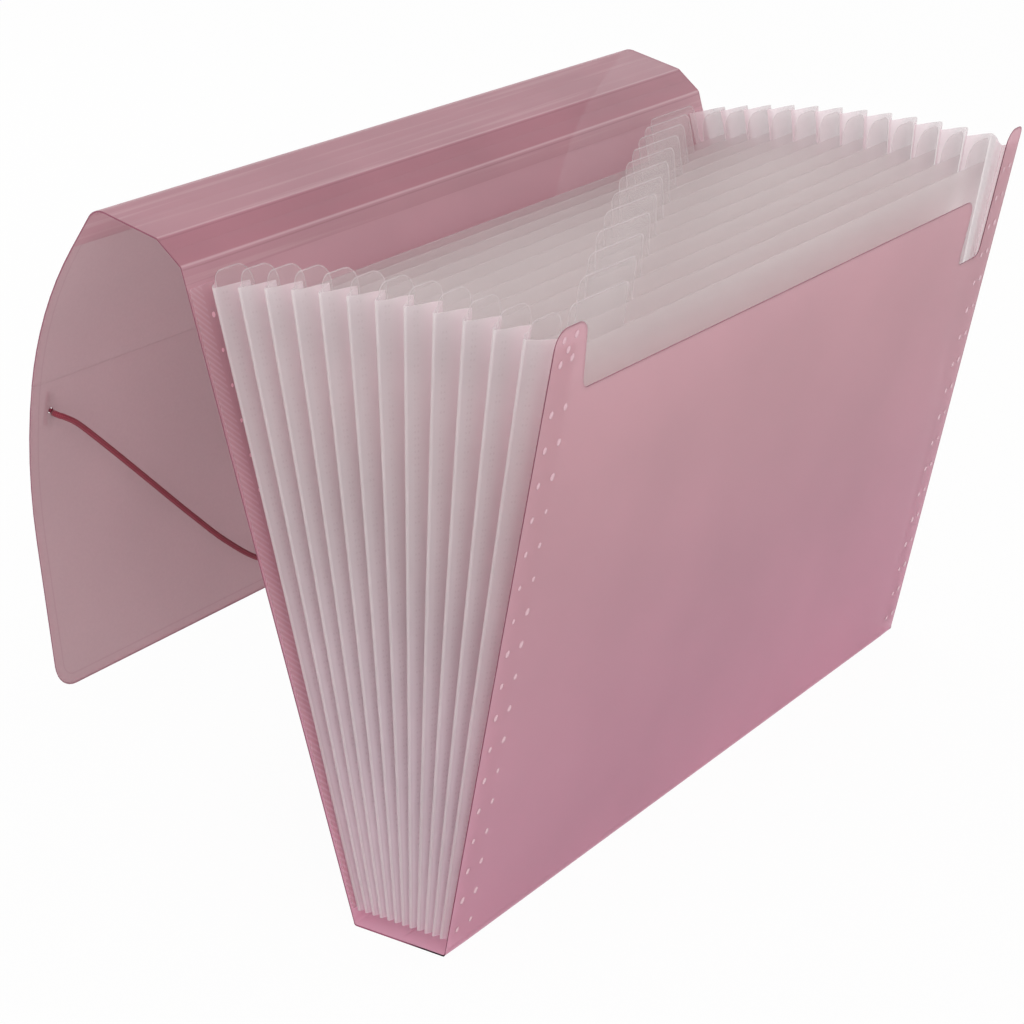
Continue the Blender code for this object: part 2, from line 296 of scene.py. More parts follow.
shader.inputs["Sheen Weight"].default_value = 0.15

left_half = [Vector(point) for point in left_route]
right_half = [Vector((-point.x, point.y, point.z)) for point in reversed(left_half[:-1])]
cord_line = smooth_line(left_half + right_half, cord_rings)
cord = tube("braided_cord", cord_line, cord_thickness / 2, cord_sides, braid)

# Cord barbs
# Moulded nylon T-bars clamped on the cord's ends. Each lies flat behind the flap, its shank in the hole.

# Nylon from the mould: half glossy, its red a little uneven in spots of 0.8 mm
nylon, tree, shader = new_material("moulded_red_nylon")
spots = add_node(tree, "ShaderNodeTexCoord")
grain = add_node(tree, "ShaderNodeTexNoise", {"Vector": spots.outputs["Object"], "Scale": 1 / (0.8 * mm)})
mixed = add_node(tree, "ShaderNodeMix", {0: grain.outputs[0], 6: "#7A2C3C", 7: "#8C3546"}, data_type="RGBA")
tree.links.new(mixed.outputs[2], shader.inputs["Base Color"])
shader.inputs["Roughness"].default_value = 0.4
for node in ("cord_barb_left", "cord_barb_right"):
    frame["nodes"][node].data.materials.clear()
    frame["nodes"][node].data.materials.append(nylon)

middle_bend = Vector(joints["flap_middle_bend"]["pos_m"])
lower_bend = Vector(joints["flap_lower_bend"]["pos_m"])
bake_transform(cord)
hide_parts("elastic_cord")

# Front cover and back cover
# Two panels of one pink polypropylene sheet, 0.6 mm thick, die cut and rolled matt. A living hinge joins
# each to the base. The gussets are welded to their inner faces along both ends.
film_thickness = 0.6 * mm
cut_edge = 0.5 * mm
film_cell = 12 * mm
thinnest_slice = 0.06 * mm
corner_steps = 8
half_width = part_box("back_cover")[1].x
sheet_joints = ["back_cover_crease"]
sheet_joints += [name for name in sorted(joints) if name.startswith("divider_")]
sheet_joints += ["front_cover_crease"]
last_sheet = len(sheet_joints) - 1
leans = [math.radians(sum(joints[name]["range_deg"])) for name in sheet_joints]


def on_sheet(number, x, height, forward=0.0):
    """A point at a height along a sheet above its crease. Sheet 0 is the back cover, the last the front."""
    crease = joints[sheet_joints[number]]["pos_m"]
    lean = leans[number]
    y = crease[1] + height * math.sin(lean) - forward * math.cos(lean)
    z = crease[2] + height * math.cos(lean) + forward * math.sin(lean)
    return Vector((x, y, z))


def arc(before, here, after, radius, steps=None):
    """Points of the arc that rounds off a corner between its two neighbours. They lie about 3 degrees
    apart where no number of steps is given."""
    way_back = (before - here).normalized()
    way_on = (after - here).normalized()
    half_angle = way_back.angle(way_on) / 2
    centre = here + (way_back + way_on).normalized() * (radius / math.sin(half_angle))
    start = (here + way_back * (radius / math.tan(half_angle)) - centre).normalized()
    end = (here + way_on * (radius / math.tan(half_angle)) - centre).normalized()
    steps = steps or max(6, round(math.degrees(math.pi - 2 * half_angle) / 3))
    return [centre + start.slerp(end, step / steps) * radius for step in range(steps + 1)]


def rounded(corners):
    """An outline from corners given as x, height and radius."""
    spots = [Vector(corner[:2]) for corner in corners]
    points = []
    for index, here in enumerate(spots):
        radius = corners[index][2]
        after = spots[(index + 1) % len(spots)]
        points += arc(spots[index - 1], here, after, radius, corner_steps) if radius else [here]
    return points


def film(name, outline, place, thickness, materials, cuts=(), seams=()):
    """A sheet cut to an outline of x and height, laid out by place(x, height). The materials are those of
    its face, of the wall at a seam, a height where the real sheet runs on, and of its cut edge."""
    shape = bmesh.new()
    uv = shape.loops.layers.uv.new("film")
    whole = shape.faces.new([shape.verts.new((x, height, 0)) for x, height in outline])
    ring = bmesh.ops.inset_region(
        shape, faces=[whole], thickness=cut_edge, use_boundary=True, use_even_offset=True
    )
    for face in ring["faces"]:
        at_seam = any(max(abs(vert.co.y - seam) for vert in face.verts) < 1.5 * cut_edge for seam in seams)
        face.material_index = 0 if at_seam else 2
    slices = []
    for axis, needed in ((0, ()), (1, cuts)):
        values = [point[axis] for point in outline]
        low, high = min(values), max(values)
        count = max(1, round((high - low) / film_cell))
        even = [low + (high - low) * step / count for step in range(1, count)]
        marks = [low, low + cut_edge, high - cut_edge, high]
        for value in (*needed, *even):
            if min(abs(value - mark) for mark in marks) > thinnest_slice:
                marks.append(value)
                slices.append((axis, value))
    for axis, value in slices:
        point = [0, 0, 0]
        normal = [0, 0, 0]
        point[axis], normal[axis] = value, 1
        geometry = [*shape.verts, *shape.edges, *shape.faces]
        bmesh.ops.bisect_plane(shape, geom=geometry, dist=1e-7, plane_co=point, plane_no=normal)
    bmesh.ops.triangulate(shape, faces=[face for face in shape.faces if len(face.verts) > 4])
    for face in shape.faces:
        for loop in face.loops:
            loop[uv].uv = loop.vert.co.xy
    for vert in shape.verts:
        vert.co = place(vert.co.x, vert.co.y)
    piece = finished(name, shape, *materials)
    wall = piece.modifiers.new("wall", "SOLIDIFY")
    wall.thickness = thickness
    wall.offset = 0
    wall.material_offset_rim = 1
    plain(piece)
    smooth_faces(piece)
    return piece


def plain(piece):
    """Makes the evaluated shape the piece's own mesh, and takes its modifiers off."""
    graph = bpy.context.evaluated_depsgraph_get()
    made = bpy.data.meshes.new_from_object(piece.evaluated_get(graph))
    piece.modifiers.clear()
    piece.data = made


def smooth_faces(piece):
    """Shades a sheet's faces smooth and keeps its cut edges sharp."""
    piece.data.shade_smooth()
    piece.data.set_sharp_from_angle(angle=math.radians(40))


# Of the light on a pink surface, the share that glows through it and the share that goes straight
pink_glow = 0.4
pink_clear = 0.2
pink_grain = 0.9 * mm
grain_depth = 0.05 * mm
polypropylene_ior = 1.49


def finish_film(tree, shader, colour, normal, roughness, glow, clear):
    """Ends the material of a polypropylene film: a share of the light glows through it, scattered, and a
    share goes straight through. A sheet has two such surfaces."""
    tree.links.new(colour, shader.inputs["Base Color"])
    tree.links.new(normal, shader.inputs["Normal"])
    shader.inputs["Roughness"].default_value = roughness
    shader.inputs["IOR"].default_value = polypropylene_ior
    scattered = add_node(tree, "ShaderNodeBsdfTranslucent", {"Color": colour, "Normal": normal})
    body = add_node(tree, "ShaderNodeMixShader", {0: glow, 1: shader.outputs[0], 2: scattered.outputs[0]})
    straight = add_node(tree, "ShaderNodeBsdfTransparent")
    whole = add_node(tree, "ShaderNodeMixShader", {0: clear, 1: body.outputs[0], 2: straight.outputs[0]})
    tree.links.new(whole.outputs[0], tree.nodes["Material Output"].inputs["Surface"])


def sheet_place(tree):
    """The film's own x and height, as two sockets."""
    line = add_node(tree, "ShaderNodeUVMap", uv_map="film")
    split = add_node(tree, "ShaderNodeSeparateXYZ", {0: line.outputs[0]})
    return split.outputs[0], split.outputs[1]


def near_line(tree, value, line, reach):
    """1 where a value is at a line, falling to 0 at a reach to either side."""
    away = add_node(tree, "ShaderNodeMath", {0: value, 1: line}, operation="SUBTRACT")
    size = add_node(tree, "ShaderNodeMath", {0: away.outputs[0]}, operation="ABSOLUTE")
    inputs = {"Value": size.outputs[0], "From Min": reach, "From Max": 0.0}
    return add_node(tree, "ShaderNodeMapRange", inputs, interpolation_type="SMOOTHSTEP").outputs[0]


def marked(tree, colour, mark, share, most=1.0):
    """A colour, and a mark of another colour laid over it where a share says so, up to the given most."""
    laid = add_node(tree, "ShaderNodeMath", {0: share, 1: most}, operation="MULTIPLY").outputs[0]
    return add_node(tree, "ShaderNodeMix", {0: laid, 6: colour, 7: mark}, data_type="RGBA").outputs[2]


def turning(tree, colour, other, value, low, high, most=1.0):
    """A colour that turns into another one as a value goes from low to high."""
    inputs = {"Value": value, "From Min": low, "From Max": high}
    share = add_node(tree, "ShaderNodeMapRange", inputs, interpolation_type="SMOOTHSTEP").outputs[0]
    return marked(tree, colour, other, share, most)


def speckled(tree, colour, other, place, size, most=1.0):
    """A colour, and another one laid over it in soft spots of a real size."""
    spots = add_node(tree, "ShaderNodeTexNoise", {"Vector": place, "Scale": 1 / size})
    return marked(tree, colour, other, spots.outputs[0], most)


def clouded(tree, colour, place, size, low, high):
    """A colour made a little darker and lighter in slow clouds of a real size."""
    slow = add_node(tree, "ShaderNodeTexNoise", {"Vector": place, "Scale": 1 / size}).outputs[0]
    inputs = {"Value": slow, "From Min": 0.3, "From Max": 0.7, "To Min": low, "To Max": high}
    soft = add_node(tree, "ShaderNodeMapRange", inputs).outputs[0]
    return add_node(tree, "ShaderNodeHueSaturation", {"Color": colour, "Value": soft}).outputs[0]


def grained(tree, place, size, strength, relief=None, rise=-1.0):
    """A fine matt grain, and a relief that sinks into the surface, or rises out of it where rise is 1."""
    height = add_node(tree, "ShaderNodeTexNoise", {"Vector": place, "Scale": 1 / size}).outputs[0]
    if relief:
        inputs = {0: relief, 1: rise, 2: height}
        height = add_node(tree, "ShaderNodeMath", inputs, operation="MULTIPLY_ADD").outputs[0]
    inputs = {"Height": height, "Strength": strength, "Distance": grain_depth}
    return add_node(tree, "ShaderNodeBump", inputs).outputs[0]


def pink_film_with_painted_light(name, low_colour, high_colour, high_height, clear):
    """Rolled pink polypropylene: half matt, with slow clouds, and its colour painted to turn from the table
    up to a height, as painted light and shade. The real grain of 0.3 mm is drawn at 0.9 mm, to show."""
    made, tree, shader = new_material(name)
    spots = add_node(tree, "ShaderNodeTexCoord").outputs["Object"]
    rise = add_node(tree, "ShaderNodeSeparateXYZ", {0: spots}).outputs[2]
    # Painted light and shade: the colour turns with the height on the sheet
    base = turning(tree, low_colour, high_colour, rise, 0.0, high_height)
    toned = clouded(tree, base, spots, 70 * mm, 0.96, 1.03)
    normal = grained(tree, spots, pink_grain, 0.25)
    finish_film(tree, shader, toned, normal, roughness=0.42, glow=pink_glow, clear=clear)
    return made


# The covers' film, painted a little lighter and greyer towards the top as painted light
cover_film_painted_light = pink_film_with_painted_light("matt_pink_polypropylene_painted_light", "#E7B4C9", "#E3BBC5", 200 * mm, pink_clear)
# Painted shade: the back cover's film is painted deeper towards its top, where the strips shade it
back_film_painted_shade = pink_film_with_painted_light("matt_pink_back_cover_film_painted_shade", "#E7B4C9", "#D9AEB9", 230 * mm, pink_clear)

# Its die-cut edge, where the eye looks along the sheet and sees its full colour
cover_edge = pink_film_with_painted_light("cut_edge_of_pink_film", "#A4607A", "#A86C7F", 200 * mm, 0.0)

# The film where one stretch of it meets the next: there is no wall in the real sheet, so all light passes
run_on, tree, shader = new_material("film_that_runs_on")
shader.inputs["Base Color"].default_value = srgb("#E4BAC4")
shader.inputs["Alpha"].default_value = 0.0

cover_foot = 2.0 * mm
front_top = 233 * mm
panel_top = 208 * mm
slot_floor = 180 * mm
left_ear = 16.5 * mm
left_notch = 4.5 * mm
right_ear = 11.5 * mm
slot = 18.5 * mm
ear_inner = -half_width + left_ear
slot_outer = half_width - right_ear
front_corners = [
    (-half_width, cover_foot, 0),
    (half_width, cover_foot, 0),
    (half_width, front_top, 2.75 * mm),
    (slot_outer, front_top, 5.5 * mm),
    (slot_outer, slot_floor, 4 * mm),
    (slot_outer - slot, slot_floor, 2 * mm),
    (slot_outer - slot, panel_top, 6 * mm),
    (ear_inner + left_notch, panel_top, 4 * mm),
    (ear_inner, front_top, 5.5 * mm),
    (-half_width, front_top, 5.5 * mm),
]
front_piece = film(
    "front_cover_film",
    rounded(front_corners),
    lambda x, height: on_sheet(last_sheet, x, height),
    film_thickness,
    (cover_film_painted_light, run_on, cover_edge),
    seams=[cover_foot],
)
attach(front_piece, "front_cover")
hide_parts("front_cover")

back_top = 228 * mm
back_corners = [
    (-half_width, cover_foot, 0),
    (half_width, cover_foot, 0),
    (half_width, back_top, 0),
    (-half_width, back_top, 0),
]
back_piece = film(
    "back_cover_film",
    rounded(back_corners),
    lambda x, height: on_sheet(0, x, height),
    film_thickness,
    (back_film_painted_shade, run_on, cover_edge),
    seams=[cover_foot, back_top],
)
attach(back_piece, "back_cover")
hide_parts("back_cover")

# Weld spots
# The hot tool that welds the gussets to the covers leaves small round spots, where the film is pressed
# smooth. They are painted pale, partly as the pressed film's own colour and partly as a painted highlight.
# They run up both ends in pairs, 12.2 mm apart, and five lie on the left ear.
spot_length = 2.5 * mm
spot_width = 2.1 * mm
spot_rise = 0.16 * mm
spot_slant = -0.2
spot_pitch = 12.2 * mm
lowest_spot = 9 * mm
over_flange = 0.4 * mm
main_column = 8.6 * mm
ear_spots = [(11.0, 229.7), (4.3, 229.3), (7.6, 225.4), (10.8, 221.9), (4.6, 221.0)]

# Polypropylene that was pressed hot: smooth and glossier than the rolled film round it, and painted paler,
# partly as its own colour and partly as a painted highlight
pressed_film_with_highlight, tree, shader = new_material("hot_pressed_polypropylene_painted_highlight")
spots = add_node(tree, "ShaderNodeTexCoord").outputs["Object"]
# Partly painted highlight: the spots' pale colour
toned = speckled(tree, "#D8A9B7", "#E6C3CD", spots, 0.8 * mm)
tree.links.new(toned, shader.inputs["Base Color"])
shader.inputs["Roughness"].default_value = 0.25
shader.inputs["IOR"].default_value = polypropylene_ior


def spot_nodes():
    """Geometry Nodes that set an oval spot on every point, each a little larger or smaller."""
    group = bpy.data.node_groups.new("weld_spots", "GeometryNodeTree")
    group.interface.new_socket("Points", in_out="INPUT", socket_type="NodeSocketGeometry")
    for label in ("Length", "Width", "Rise"):
        group.interface.new_socket(label, in_out="INPUT", socket_type="NodeSocketFloat")
    group.interface.new_socket("Slant", in_out="INPUT", socket_type="NodeSocketFloat")
    group.interface.new_socket("Seed", in_out="INPUT", socket_type="NodeSocketInt")
    group.interface.new_socket("Film", in_out="INPUT", socket_type="NodeSocketMaterial")
    group.interface.new_socket("Spots", in_out="OUTPUT", socket_type="NodeSocketGeometry")
    given = add_node(group, "NodeGroupInput").outputs
    ball = add_node(group, "GeometryNodeMeshIcoSphere", {"Radius": 0.5, "Subdivisions": 2})
    size = add_node(group, "ShaderNodeCombineXYZ", {0: given["Width"], 1: given["Length"], 2: given["Rise"]})
    flat = add_node(group, "GeometryNodeTransform", {"Geometry": ball.outputs[0], "Scale": size.outputs[0]})
    vary = add_node(group, "FunctionNodeRandomValue", {"Min": 0.8, "Max": 1.15, "Seed": given["Seed"]})
    turn = add_node(group, "ShaderNodeCombineXYZ", {2: given["Slant"]})
    inputs = {"Points": given["Points"], "Instance": flat.outputs[0], "Rotation": turn.outputs[0]}
    set_out = add_node(group, "GeometryNodeInstanceOnPoints", inputs)
    group.links.new(vary.outputs[1], set_out.inputs["Scale"])
    real = add_node(group, "GeometryNodeRealizeInstances", {"Geometry": set_out.outputs[0]})
    inputs = {"Geometry": real.outputs[0], "Material": given["Film"]}
    finish = add_node(group, "GeometryNodeSetMaterial", inputs)
    add_node(group, "NodeGroupOutput", {"Spots": finish.outputs[0]})
    return group


spot_group = spot_nodes()


def weld_spots(name, number, places, forward, seed):
    """Spots at places of x and height on one face of a sheet, as one plain piece."""
    shape = bmesh.new()
    for x, height in places:
        shape.verts.new((x, height, 0))
    piece = finished(name, shape, pressed_film_with_highlight)
    nodes = piece.modifiers.new("weld_spots", "NODES")
    nodes.node_group = spot_group
    sizes = {"Length": spot_length, "Width": spot_width, "Rise": spot_rise, "Slant": spot_slant}
    values = {**sizes, "Seed": seed, "Film": pressed_film_with_highlight}
    for socket in spot_group.interface.items_tree:
        if socket.in_out == "INPUT" and socket.name in values:
            nodes[socket.identifier] = values[socket.name]
    plain(piece)
    for vert in piece.data.vertices:
        vert.co = on_sheet(number, vert.co.x, vert.co.y, forward + vert.co.z)
    piece.data.shade_smooth()
    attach(piece, joints[sheet_joints[number]]["child"])


left_columns = [(4.6 * mm, 0.0), (12.2 * mm, 0.6 * mm)]
right_columns = [(main_column, 0.0), (3.6 * mm, 0.8 * mm)]
left_rows = [lowest_spot + spot_pitch * row for row in range(17)]
right_rows = [lowest_spot + spot_pitch * row for row in range(18)]
front_spots = [(-half_width + x * mm, height * mm) for x, height in ear_spots]
front_spots += [(-half_width + inset, row + lift) for row in left_rows for inset, lift in left_columns]
front_spots += [(half_width - inset, row + lift) for row in right_rows for inset, lift in right_columns]
back_spots = [(side * (half_width - main_column), row) for side in (-1, 1) for row in right_rows]
weld_spots("front_weld_spots", last_sheet, front_spots, film_thickness / 2, 3)
weld_spots("back_weld_spots", 0, back_spots, film_thickness / 2 + over_flange, 4)

# Base, top strips and flap
# The rest of the same sheet. It is creased along its width at the base's two edges, at the back cover's
# top and between the two top strips, and rolls over into the flap, which hangs in a shallow curve.
crease_round = 1.4 * mm
ridge_round = 7 * mm
cut_margin = 0.1 * mm
rear_crease = Vector(joints["rear_top_crease"]["pos_m"])
front_crease = Vector(joints["front_top_crease"]["pos_m"])
ridge = Vector(joints["flap_crease"]["pos_m"])
ridge_stretch = 18 * mm
flap_end_length = 88 * mm
flap_corner = 9 * mm
border_inset = 4 * mm


def bent_line(points, radii):
    """A path of straight runs, its inner corners rounded off by arcs, as points with their lengths along."""
    line = [points[0]]
    for before, here, after, radius in zip(points, points[1:], points[2:], radii):
        line += arc(before, here, after, radius)
    line.append(points[-1])
    along = [0.0]
    for a, b in zip(line, line[1:]):
        along.append(along[-1] + (b - a).length)
    return line, along


def on_line(path, x, distance):
    """The point of a bent line at a distance along it, moved to x."""
    line, along = path
    place = 0
    while place < len(along) - 2 and along[place + 1] < distance:
        place += 1
    share = (distance - along[place]) / (along[place + 1] - along[place])
    point = line[place].lerp(line[place + 1], share)
    return Vector((x, point.y, point.z))


def nearest_distance(path, point):
    """How far along a bent line the point nearest to the given one lies."""
    line, along = path
    return min(zip(line, along), key=lambda pair: (pair[0] - point).length)[1]


def strip_of(name, path, start, end, face_material, corners=None):
    """A piece of the sheet across the full width, between two distances along a path."""
    bends = [place for place in path[1] if start + cut_margin < place < end - cut_margin]
    plain_corners = [
        (-half_width, start, 0),
        (half_width, start, 0),
        (half_width, end, 0),
        (-half_width, end, 0),
    ]
    return film(
        name,
        rounded(corners or plain_corners),
        lambda x, distance: on_line(path, x, distance),
        film_thickness,
        (face_material, run_on, cover_edge),
        cuts=bends,
        seams=[start] if corners else [start, end],
    )


flap_way = Vector((0, *(Vector(lower_bend.yz) - Vector(middle_bend.yz)).normalized()))
flap_turn = math.radians(joints["flap_lower_bend"]["range_deg"][1])
lower_way = Quaternion((1, 0, 0), -flap_turn) @ flap_way
flap_end = lower_bend + lower_way * flap_end_length
back_seam = on_sheet(0, 0, back_top)
middle_half = (lower_bend - middle_bend).length / 2
middle_round = middle_half / math.tan(math.radians(joints["flap_middle_bend"]["range_deg"][1]) / 2)
lower_round = middle_half / math.tan(flap_turn / 2)
wrap = bent_line(
    [back_seam, rear_crease, front_crease, ridge, middle_bend, lower_bend, flap_end],
    [crease_round, crease_round, ridge_round, middle_round, lower_round],
)
total = wrap[1][-1]
creases = (rear_crease, front_crease, ridge, middle_bend, lower_bend)
stations = [nearest_distance(wrap, crease) for crease in creases]
seam_rear = (stations[0] + stations[1]) / 2
seam_front = (stations[1] + stations[2]) / 2
seam_upper = stations[2] + ridge_stretch
seam_middle = (stations[3] + stations[4]) / 2

# The strips were calendered smooth, and long pale streaks are painted along them as painted highlights. Each
# crease has a pale line along it with a dark line of painted shade beside it, and the strip between the
# creases is painted darker, as painted shade where it faces away from the light
strip_film_painted_light, tree, shader = new_material("glossy_pink_polypropylene_painted_highlights")
highlight_streaks_longer_than_wide = 50
across, along = sheet_place(tree)
inputs = {0: across, 1: 1 / highlight_streaks_longer_than_wide}
drawn_out = add_node(tree, "ShaderNodeMath", inputs, operation="MULTIPLY").outputs[0]
highlight_streak_place = add_node(tree, "ShaderNodeCombineXYZ", {0: drawn_out, 1: along}).outputs[0]
# Painted highlights: long pale streaks along the strip
painted_highlight_streaks = add_node(tree, "ShaderNodeTexNoise", {"Vector": highlight_streak_place, "Scale": 1 / (3 * mm)}).outputs[0]
toned = turning(tree, "#D0A2AD", "#E2C2C9", painted_highlight_streaks, 0.5, 0.75, 0.55)
sides = []
for edge, way in ((stations[0], 1), (stations[1], -1)):
    inputs = {"Value": along, "From Min": edge, "From Max": edge + way * 0.8 * mm}
    sides.append(add_node(tree, "ShaderNodeMapRange", inputs, interpolation_type="SMOOTHSTEP").outputs[0])
# Painted shade: the strip between the creases is darker
painted_shade_stripe = add_node(tree, "ShaderNodeMath", {0: sides[0], 1: sides[1]}, operation="MULTIPLY").outputs[0]
toned = marked(tree, toned, "#C68D9B", painted_shade_stripe, 0.9)
# Painted shade: a dark line beside each crease, with a pale line along the crease
for station in stations[:2]:
    toned = marked(tree, toned, "#A97785", near_line(tree, along, station - 1.2 * mm, 0.5 * mm), 0.4)
    toned = marked(tree, toned, "#EACBD2", near_line(tree, along, station, 0.6 * mm), 0.7)
spots = add_node(tree, "ShaderNodeTexCoord").outputs["Object"]
toned = clouded(tree, toned, spots, 60 * mm, 0.95, 1.04)
normal = grained(tree, spots, pink_grain, 0.15)
finish_film(tree, shader, toned, normal, roughness=0.3, glow=pink_glow, clear=pink_clear)

# The flap is rolled matt like the covers, but its colour is painted greyer and a little darker than theirs,
# as painted shade, and a fine line is embossed 4 mm inside its edges. The line is found from how far a point
# lies past the centre of a corner's arc, round the corners too
flap_film_painted_shade, tree, shader = new_material("matt_pink_flap_film_painted_shade")
across, along = sheet_place(tree)
size = add_node(tree, "ShaderNodeMath", {0: across}, operation="ABSOLUTE").outputs[0]
inputs = {0: size, 1: half_width - flap_corner}
past_side = add_node(tree, "ShaderNodeMath", inputs, operation="SUBTRACT").outputs[0]
inputs = {0: along, 1: total - flap_corner}
past_end = add_node(tree, "ShaderNodeMath", inputs, operation="SUBTRACT").outputs[0]
nearer = add_node(tree, "ShaderNodeMath", {0: past_side, 1: past_end}, operation="MAXIMUM").outputs[0]
inner = add_node(tree, "ShaderNodeMath", {0: nearer, 1: 0.0}, operation="MINIMUM").outputs[0]
outer = add_node(tree, "ShaderNodeCombineXYZ", {0: past_side, 1: past_end}).outputs[0]
outer = add_node(tree, "ShaderNodeVectorMath", {0: outer, 1: (0, 0, 0)}, operation="MAXIMUM").outputs[0]
outer = add_node(tree, "ShaderNodeVectorMath", {0: outer}, operation="LENGTH").outputs["Value"]
past = add_node(tree, "ShaderNodeMath", {0: inner, 1: outer}, operation="ADD").outputs[0]
emboss = near_line(tree, past, flap_corner - border_inset, 0.5 * mm)
# Painted shade: the flap's colours are greyer and darker than the covers'
toned = turning(tree, "#D2B5BB", "#D7AEB8", past, flap_corner - border_inset, flap_corner, 0.5)
spots = add_node(tree, "ShaderNodeTexCoord").outputs["Object"]
toned = clouded(tree, toned, spots, 80 * mm, 0.96, 1.03)
toned = speckled(tree, toned, "#B39A9E", spots, 1.1 * mm, 0.25)
toned = marked(tree, toned, "#B3858F", emboss, 0.25)
normal = grained(tree, spots, pink_grain, 0.3, emboss)
finish_film(tree, shader, toned, normal, roughness=0.45, glow=pink_glow, clear=pink_clear)

crease_reach = 3 * mm
ridge_bend_reach = 12 * mm
hole_radius = 1.2 * mm
hole_drop = 42 * mm
hole_inset = 10 * mm
punch_depth = 6 * mm
pieces_of_wrap = [
    ("rear_strip_film", 0.0, seam_rear, strip_film_painted_light, crease_reach, "back_cover", "rear_top_strip"),
    ("top_strip_film", seam_rear, seam_front, strip_film_painted_light, crease_reach, "rear_top_strip", "front_top_strip"),
    ("ridge_film", seam_front, seam_upper, strip_film_painted_light, ridge_bend_reach, "front_top_strip", "flap_upper"),
    ("upper_flap_film", seam_upper, seam_middle, flap_film_painted_shade, middle_half, "flap_upper", "flap_middle"),
    ("lower_flap_film", seam_middle, total, flap_film_painted_shade, middle_half, "flap_middle", "flap_lower"),
]
for station, piece_of_wrap in zip(stations, pieces_of_wrap):
    name, start, end, face_material, reach, body_before, body_after = piece_of_wrap
    corners = None
    if end == total:
        corners = [
            (-half_width, start, 0),
            (half_width, start, 0),
            (half_width, end, flap_corner),
            (-half_width, end, flap_corner),
        ]
    piece = strip_of(name, wrap, start, end, face_material, corners)
    if end == total:
        for side in (-1, 1):
            middle = middle_bend + flap_way * hole_drop + Vector((side * (half_width - hole_inset), 0, 0))
            shape = bmesh.new()
            through = Vector((0, flap_way.z, -flap_way.y)).to_track_quat("Z", "Y").to_matrix().to_4x4()
            bmesh.ops.create_cone(
                shape,
                cap_ends=True,
                segments=20,
                radius1=hole_radius,
                radius2=hole_radius,
                depth=punch_depth,
                matrix=through,
            )
            bmesh.ops.translate(shape, verts=shape.verts, vec=middle)
            punch = finished("punch", shape, cover_edge)
            cut = piece.modifiers.new("hole", "BOOLEAN")
            cut.operation = "DIFFERENCE"
            cut.object = punch
            plain(piece)
            bpy.data.objects.remove(punch)
        smooth_faces(piece)
    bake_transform(piece)
    stands_for = [body for body in (body_before, body_after) if body != "back_cover"]
    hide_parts(*stands_for)

base_top = 0.4 * mm
base_round = 0.9 * mm
halves_of_base = [("front_base_film", last_sheet, "front_cover"), ("back_base_film", 0, "back_cover")]
for name, number, body in halves_of_base:
    foot = Vector(joints[sheet_joints[number]]["pos_m"])
    path = bent_line([Vector((0, 0, base_top)), foot, on_sheet(number, 0, cover_foot)], [base_round])
    piece = strip_of(name, path, 0.0, path[1][-1], cover_film_painted_light)
    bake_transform(piece)
    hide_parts("base_spine")

# Dividers
# Twelve sheets of frosted clear polypropylene, 0.5 mm thick, each with an ear at both ends and one index
# tab. The tabs step across the width from the rightmost, at the back, to the leftmost.
frost_thickness = 0.5 * mm
divider_side = half_width - 2.5 * mm
ear_width = 18 * mm
ear_top = 232 * mm
right_ear_top = 226 * mm
divider_top = 216 * mm
divider_foot = 1 * mm
tab_width = 34 * mm
tab_margin = 3.75 * mm
foot_cut = 9 * mm
foot_rise = 7 * mm
frost_grain = 0.7 * mm


def frosted(tree, shader, colour, roughness, glow, clear, relief=None, rise=-1.0):
    """Ends the material of a frosted film: slow clouds of shade, and a fine matt grain. The real grain of
    0.2 mm is drawn at 0.7 mm, to show."""
    spots = add_node(tree, "ShaderNodeTexCoord").outputs["Object"]
    toned = clouded(tree, colour, spots, 40 * mm, 0.985, 1.01)
    normal = grained(tree, spots, frost_grain, 0.2, relief, rise)
    finish_film(tree, shader, toned, normal, roughness, glow, clear)


# Frosted polypropylene: milky, and painted lighter low down as painted light, for the light that comes in and
# is thrown to and fro there
divider_film_painted_light, tree, shader = new_material("frosted_clear_polypropylene_painted_light")
across, rise = sheet_place(tree)
# Painted light: lighter towards the foot than at the top edge
toned = turning(tree, "#E2DBDB", "#FAF5F5", rise, divider_top, divider_top - 18 * mm)
frosted(tree, shader, toned, roughness=0.45, glow=0.5, clear=0.6)

# The tabs and ears were pressed flatter with the die, so more shows through them
tab_film, tree, shader = new_material("pressed_frosted_polypropylene")
spots = add_node(tree, "ShaderNodeTexCoord").outputs["Object"]
toned = speckled(tree, "#D2CACA", "#D9D1D1", spots, 8 * mm)
frosted(tree, shader, toned, roughness=0.4, glow=0.5, clear=0.82)

# Its die-cut edge: clearer and paler than the face
divider_edge, tree, shader = new_material("cut_edge_of_frosted_film")
spots = add_node(tree, "ShaderNodeTexCoord").outputs["Object"]
toned = speckled(tree, "#E4DDDE", "#ECE6E7", spots, 5 * mm)
frosted(tree, shader, toned, roughness=0.35, glow=0.5, clear=0.6)

